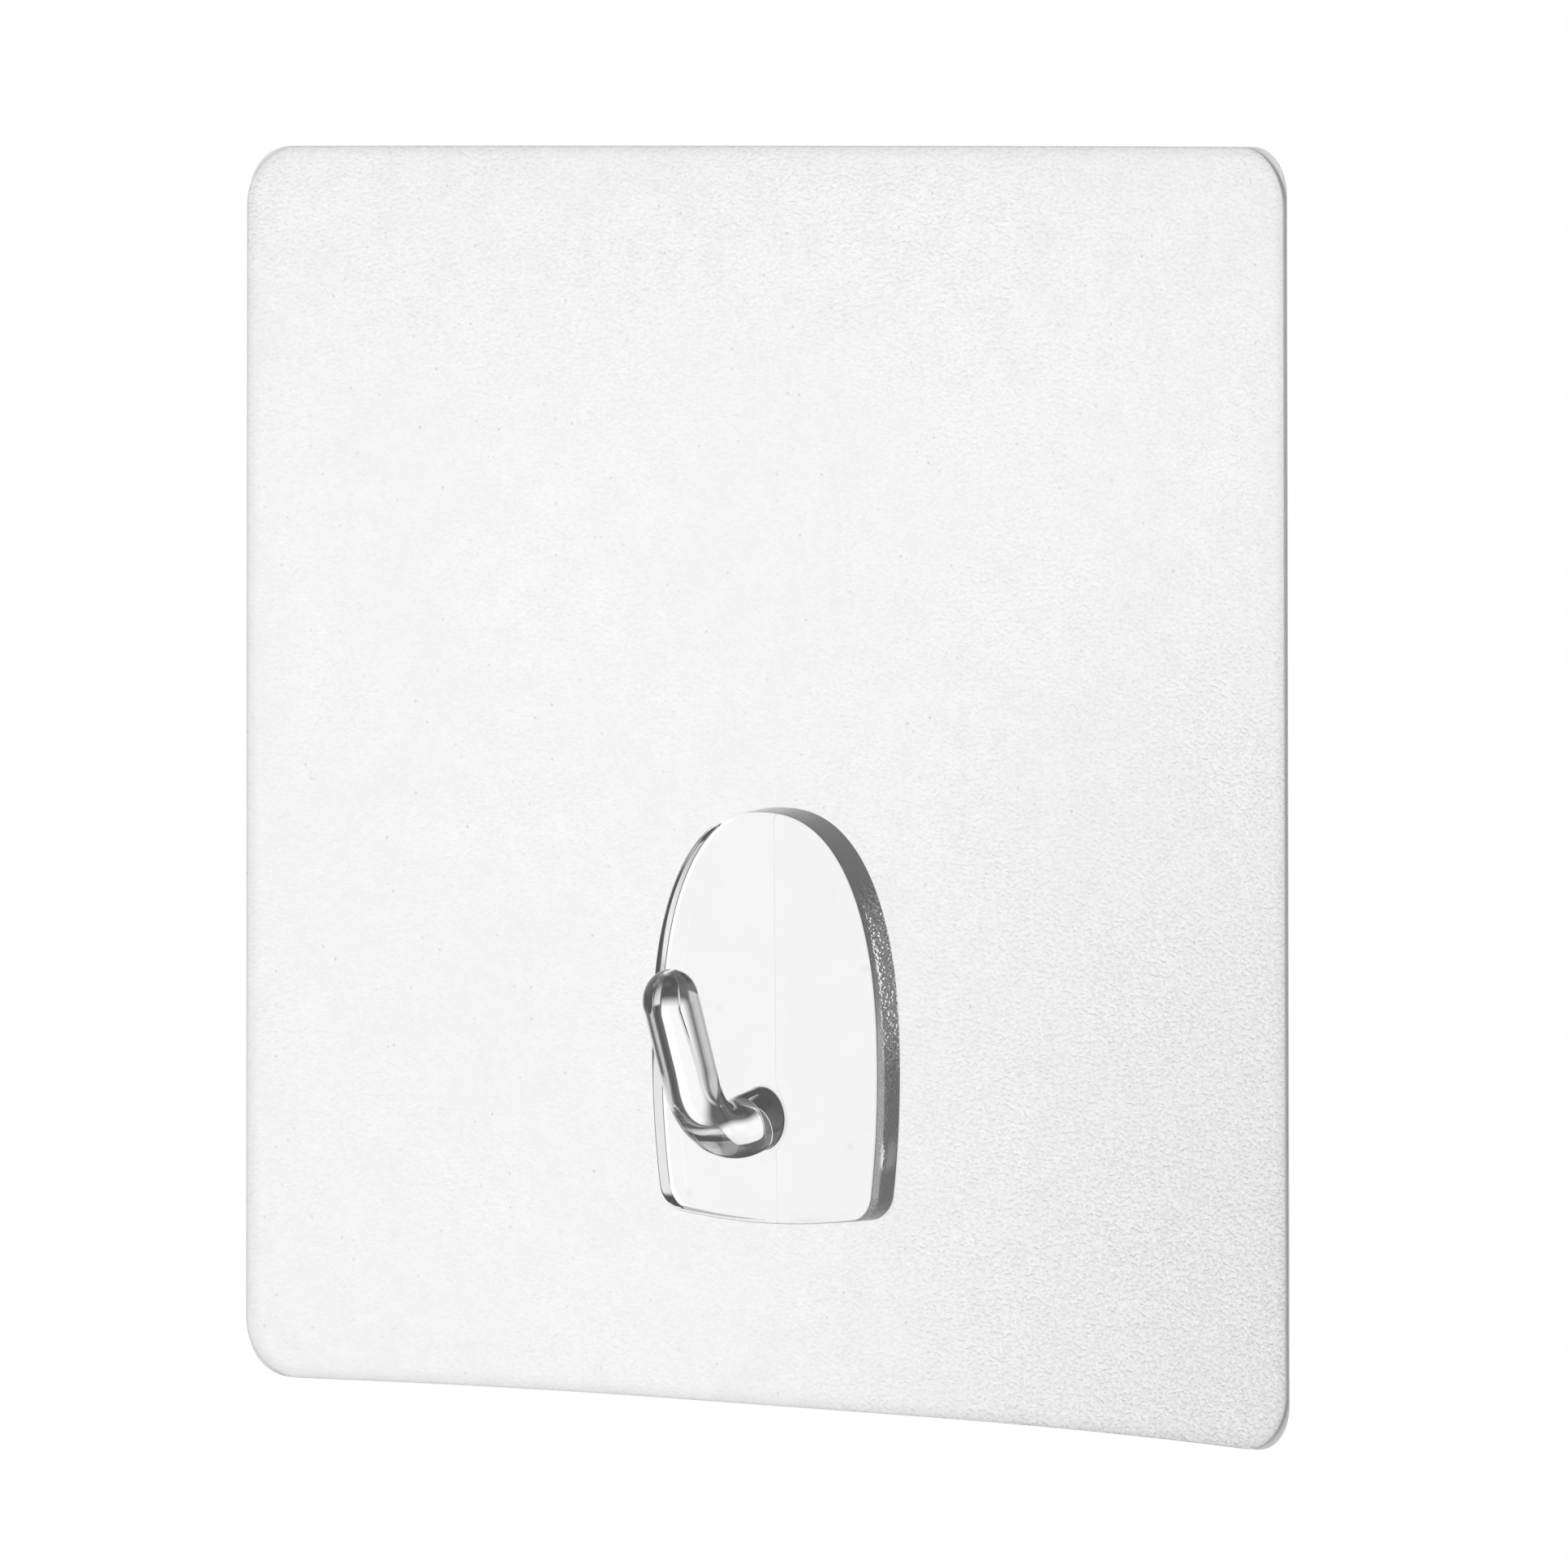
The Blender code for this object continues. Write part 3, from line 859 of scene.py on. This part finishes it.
def edge_finish(name, light, dark, scale):
    """Finish of a cut edge, streaked along the thickness, its grey partly painted shade."""
    made, shader, tree = new_material(name)
    pass_through(tree, shader, THROUGH_SHEET)
    streak = noise(tree, object_place(tree), scale, detail=3.0)
    tree.links.new(two_tone(tree, streak, dark, light), shader.inputs["Base Color"])
    tree.links.new(ramp(tree, streak, 0.3, 0.7, 0.35, 0.55), shader.inputs["Roughness"])
    bump(tree, shader, streak, 0.01 * MM, 0.5)
    return made


# The greys of the cut edges include painted shade.
film_edge = edge_finish("film_cut_edge", 0.46, 0.30, 900.0)
coat_edge = edge_finish("adhesive_cut_edge", (0.36, 0.36, 0.35), (0.22, 0.22, 0.22), 700.0)
liner_edge = edge_finish("liner_cut_edge", (0.62, 0.62, 0.61), (0.46, 0.46, 0.45), 500.0)
print("cut edges:", film_edge.name, coat_edge.name, liner_edge.name)

# %% [markdown]
# ## Curled sheets
# Film, adhesive coat and liner have the same form: a rounded square that lies flat
# behind the plate and leans out towards its side edges. The square starts as a grid of
# one cell with bevelled corners. Planes cut it into small cells, it is extruded to its
# thickness, and then every point moves to its place on the curl, with its length kept.

# %% Curled sheets
CURL_CELL = 1.0 * MM
CORNER_SEGMENTS = 20


def curl(point):
    """Place of a sheet point after curling, with its length along the curve kept."""
    reach = FILM_SIDE / 2 - FLAT_HALF
    beyond = max(abs(point.x) - FLAT_HALF, 0.0)
    low, high = LIFTS["left" if point.x < 0 else "right"]
    lift = low + (high - low) * (point.z / FILM_SIDE + 0.5)
    drawn_in = (2 / 3) * lift**2 * beyond**3 / reach**4
    x = point.x - math.copysign(drawn_in, point.x)
    return Vector((x, point.y - lift * (beyond / reach) ** 2, point.z))


def curled_layer(side, corner, thickness, back_y):
    """Rounded square layer whose wall side is at back_y before it curls."""
    bm = bmesh.new()
    flat = bm.loops.layers.uv.new("flat")
    bmesh.ops.create_grid(bm, x_segments=1, y_segments=1, size=side / 2,
                          matrix=Matrix.Rotation(math.pi / 2, 4, "X"))
    bmesh.ops.bevel(bm, geom=bm.verts[:], offset=corner, offset_type="OFFSET", affect="VERTICES",
                    segments=CORNER_SEGMENTS, profile=0.5, material=-1)
    count = round(side / 2 / CURL_CELL)
    for i in range(-count + 1, count):
        for normal in ((1, 0, 0), (0, 0, 1)):
            place = Vector(normal) * i * CURL_CELL
            bmesh.ops.bisect_plane(bm, geom=[*bm.verts, *bm.edges, *bm.faces],
                                   plane_co=place, plane_no=normal)
    bmesh.ops.triangulate(bm, faces=[face for face in bm.faces if len(face.verts) > 4])
    front = bmesh.ops.extrude_face_region(bm, geom=bm.faces[:], use_keep_orig=True)
    bmesh.ops.translate(bm, verts=verts_of(front), vec=(0, -thickness, 0))
    bmesh.ops.translate(bm, verts=bm.verts, vec=(0, back_y, 0))
    bmesh.ops.recalc_face_normals(bm, faces=bm.faces)
    for face in bm.faces:
        face.material_index = 1 if abs(face.normal.y) < 0.5 else 0
        for loop in face.loops:
            loop[flat].uv = (loop.vert.co.x / FILM_SIDE + 0.5, loop.vert.co.z / FILM_SIDE + 0.5)
    for vert in bm.verts:
        vert.co = curl(vert.co)
    return bm


film_mesh = curled_layer(FILM_SIDE, FILM_CORNER, FILM_THICKNESS, FILM_BACK_Y)
film = finish_piece("film", film_mesh, "hook", "film_sheet", film_look)
film.data.materials.append(film_edge)

# %% [markdown]
# ## Adhesive coat and liner
# The coat is a thin clear gel with a faint orange-peel surface. The liner is smooth
# coated paper with a slight sheen, and it covers the coat until the hook is put up.

# %% Adhesive coat and liner
coat_look, shader, tree = new_material("clear_adhesive")
pass_through(tree, shader, THROUGH_SHEET)
flat = flat_place(tree)
clouds = place_group(tree, cloud, Vector=flat, Scale=9.0)
colour = two_tone(tree, clouds, (0.82, 0.82, 0.80), (0.88, 0.88, 0.87))
tree.links.new(colour, shader.inputs["Base Color"])
tree.links.new(ramp(tree, clouds, 0.0, 1.0, 0.16, 0.30), shader.inputs["Roughness"])
bump(tree, shader, noise(tree, flat, 60.0), 0.03 * MM, 0.6)
coat_mesh = curled_layer(FILM_SIDE - 2 * COAT_INSET, FILM_CORNER - COAT_INSET, COAT_THICKNESS, 0.0)
coat = finish_piece("adhesive_coat", coat_mesh, "hook", "adhesive_layer", coat_look)
coat.data.materials.append(coat_edge)

liner_look, shader, tree = new_material("liner_paper")
pass_through(tree, shader, THROUGH_SHEET)
flat = flat_place(tree)
clouds = place_group(tree, cloud, Vector=flat, Scale=14.0)
fibres = noise(tree, flat, 420.0, detail=3.0, roughness=0.6)
dust = place_group(tree, specks, Vector=flat, Scale=150.0, Share=0.04)
rubbed = place_group(tree, rim_group, UV=flat, Corner=LINER_CORNER / FILM_SIDE, Width=0.010)
colour = two_tone(tree, clouds, (0.86, 0.86, 0.85), (0.90, 0.90, 0.89))
colour = darken(tree, colour, dust, 0.12)
tree.links.new(darken(tree, colour, rubbed, 0.10), shader.inputs["Base Color"])
tree.links.new(ramp(tree, fibres, 0.3, 0.7, 0.46, 0.62), shader.inputs["Roughness"])
bump(tree, shader, fibres, 0.012 * MM, 0.6)
liner_mesh = curled_layer(FILM_SIDE, LINER_CORNER, LINER_THICKNESS, LAYER_GAP + LINER_THICKNESS)
liner = finish_piece("liner", liner_mesh, "liner", "release_liner", liner_look)
liner.data.materials.append(liner_edge)

# %% [markdown]
# ## Room
# The room round the hook is white and even, as a seamless paper sweep is. The world fills
# the shadows with a little over half of that white, and shows all of it to the camera, to
# reflections and to refractions.

# %% World
WORLD_FILL = 0.58

world = bpy.data.worlds.new("studio")
bpy.context.scene.world = world
world.use_nodes = True
tree = world.node_tree
tree.nodes.clear()
levels = []
for strength in (WORLD_FILL, 1.0):
    background = tree.nodes.new("ShaderNodeBackground")
    background.inputs["Color"].default_value = colour_of(1.0)
    background.inputs["Strength"].default_value = strength
    levels.append(background.outputs[0])
out = tree.nodes.new("ShaderNodeOutputWorld")
tree.links.new(mix_shaders(tree, seen_directly(tree), *levels), out.inputs["Surface"])
print("world fill:", WORLD_FILL)

# %% [markdown]
# ## Lamps
# A broad key lamp from the upper left rakes over the film and gives its grain light and
# shade. A weaker one from the right opens the shadows, and one behind lights the wall
# side. Reflections don't see the lamps, because the cards do that work.

# %% Lamps
HOOK_SPOT = Vector((0.0, 0.0, -10.0)) * MM
# Each lamp: name, place in metres, side in metres, power in watts
LAMPS = [
    ("key_lamp", (-0.55, -0.75, 0.85), 0.45, 6.6),
    ("side_lamp", (0.9, -0.5, 0.2), 0.6, 1.8),
    ("back_lamp", (0.35, 0.9, 0.7), 0.6, 6.0),
]

for name, place, side, power in LAMPS:
    data = bpy.data.lights.new(name, "AREA")
    data.shape = "SQUARE"
    data.size = side
    data.energy = power
    lamp = bpy.data.objects.new(name, data)
    bpy.context.scene.collection.objects.link(lamp)
    lamp.location = place
    lamp.rotation_mode = "QUATERNION"
    lamp.rotation_quaternion = (Vector(place) - HOOK_SPOT).to_track_quat("Z", "Y")
    lamp.visible_camera = False
    lamp.visible_transmission = False
    lamp.visible_glossy = False
    print("lamp:", name, power, "W")

# %% [markdown]
# ## Studio cards
# Clear plastic shows only what is around it, so a clear piece is shot between dark cards,
# with one bright panel left behind it. Here a large shell stands for that set: dark grey
# with bright soft-edged panels. Only reflections and refractions see it. Light that ran
# between the plate's two faces has lost much to the film, so it arrives as one dark grey.

# %% Shell of cards and panels
SHELL_RADIUS = 3.0
CARD_GREY = 0.09
GUIDED_GREY = 0.10
# Zones in degrees: azimuth where it begins and is full, azimuth where it stops being full
# and ends, and the same for the elevation. Each panel has a name, its zone and its level.
GUIDED_ZONE = ((92, 96), (256, 262), (-68, -62), (24, 28))
PANELS = [
    ("backdrop", (98, 101), (128, 150), (-22, -8), (19, 21), 1.1),
    ("low_left", (141, 150), (186, 200), (-30, -25), (-16, -8), 0.55),
    ("front_box", (244, 249), (264, 272), (-13, -9), (1, 6), 1.0),
    ("front_left", (180, 215), (235, 246), (-50, -20), (20, 50), 0.15),
    ("front", (272, 285), (325, 350), (-10, 5), (25, 55), 0.40),
    ("front_floor", (268, 280), (315, 335), (-70, -60), (-45, -25), 0.85),
    ("front_top", (270, 285), (330, 350), (48, 56), (70, 80), 0.95),
    ("right_side", (-12, 6), (34, 44), (-18, -8), (20, 40), 0.55),
    ("right_back", (44, 54), (74, 84), (-26, -7), (12, 30), 0.85),
    ("left_side", (150, 170), (200, 215), (4, 12), (40, 60), 0.60),
    ("low_back", (62, 66), (96, 98), (-46, -16), (-14, -10), 0.92),
]


def stage_object(name, bm, material):
    """Stores a mesh as a part of the set."""
    mesh = bpy.data.meshes.new(name)
    bm.to_mesh(mesh)
    bm.free()
    made = bpy.data.objects.new(name, mesh)
    bpy.context.scene.collection.objects.link(made)
    mesh.materials.append(material)
    return made


def zone_mask(tree, azimuth, rise, start, end, low, high):
    """1 where the direction lies in a zone of azimuth and elevation."""
    middle = (start[0] + end[1]) / 2
    off = math_node(tree, "SUBTRACT", azimuth, middle)
    near = math_node(tree, "ADD", math_node(tree, "WRAP", off, 180.0, -180.0), middle)
    return product(tree, between(tree, near, start, end), between(tree, rise, low, high))


cards = bpy.data.materials.new("studio_cards")
cards.use_nodes = True
tree = cards.node_tree
tree.nodes.clear()
across, along, up = split(tree, object_place(tree))
azimuth = math_node(tree, "DEGREES", math_node(tree, "ARCTAN2", along, across))
slope = math_node(tree, "ARCSINE", math_node(tree, "DIVIDE", up, SHELL_RADIUS))
rise = math_node(tree, "DEGREES", slope)
level = CARD_GREY
for _, *zone, strength in PANELS:
    lit = product(tree, zone_mask(tree, azimuth, rise, *zone), strength)
    level = math_node(tree, "MAXIMUM", lit, level)
path = tree.nodes.new("ShaderNodeLightPath")
guided = product(tree, ramp(tree, path.outputs["Glossy Depth"], 1.0, 2.0),
                 zone_mask(tree, azimuth, rise, *GUIDED_ZONE))
blend = tree.nodes.new("ShaderNodeMix")
blend.data_type = "FLOAT"
for slot, value in ((0, guided), (2, level), (3, GUIDED_GREY)):
    plug(tree, value, blend.inputs[slot])
glow = tree.nodes.new("ShaderNodeEmission")
tree.links.new(blend.outputs[0], glow.inputs["Strength"])
out = tree.nodes.new("ShaderNodeOutputMaterial")
tree.links.new(glow.outputs[0], out.inputs["Surface"])

shell_bm = bmesh.new()
bmesh.ops.create_uvsphere(shell_bm, u_segments=64, v_segments=32, radius=SHELL_RADIUS)
bmesh.ops.reverse_faces(shell_bm, faces=shell_bm.faces)
shell = stage_object("card_shell", shell_bm, cards)
shell.visible_camera = False
shell.visible_diffuse = False
shell.visible_shadow = False
shell.visible_volume_scatter = False
print("panels:", [panel[0] for panel in PANELS])

# %% [markdown]
# ## Floor
# The hook is held up over a pale floor, which keeps its soft shadow. Away from the
# shadow the floor fades into the white of the room. It has no underside, so a look from
# below still shows the hook.

# %% Floor
FLOOR_Z = -0.13
FLOOR_RADIUS = 0.9
FADE_START = 0.20
FADE_END = 0.42

floor_look, shader, tree = new_material("pale_floor")
where = object_place(tree)
clouds = place_group(tree, cloud, Vector=where, Scale=6.0)
tree.links.new(two_tone(tree, clouds, 0.90, 0.93), shader.inputs["Base Color"])
shader.inputs["Roughness"].default_value = 0.7
far = ramp(tree, vector_node(tree, "LENGTH", where), FADE_START, FADE_END)
white = tree.nodes.new("ShaderNodeEmission")
faded = mix_shaders(tree, product(tree, far, seen_directly(tree)),
                    shader.outputs["BSDF"], white.outputs[0])
under = tree.nodes.new("ShaderNodeNewGeometry").outputs["Backfacing"]
clear = tree.nodes.new("ShaderNodeBsdfTransparent")
one_sided = mix_shaders(tree, under, faded, clear.outputs[0])
tree.links.new(one_sided, tree.nodes["Material Output"].inputs["Surface"])

floor_bm = bmesh.new()
bmesh.ops.create_circle(floor_bm, cap_ends=True, radius=FLOOR_RADIUS, segments=96)
bmesh.ops.translate(floor_bm, verts=floor_bm.verts, vec=(0, 0, FLOOR_Z))
floor = stage_object("floor", floor_bm, floor_look)
floor.visible_glossy = False
floor.visible_transmission = False
print("floor at z =", FLOOR_Z, "m")

# %% [markdown]
# ## Colours and bounces
# Standard colours keep the white room white. Light crosses many faces on its way through
# the plate and the arm, so it is allowed more bounces than an opaque object would need.

# %% Output colours and light bounces
scene = bpy.context.scene
scene.view_settings.view_transform = "Standard"
scene.cycles.max_bounces = 24
scene.cycles.glossy_bounces = 16
scene.cycles.transmission_bounces = 16
scene.cycles.transparent_max_bounces = 24
print("light bounces:", scene.cycles.max_bounces)
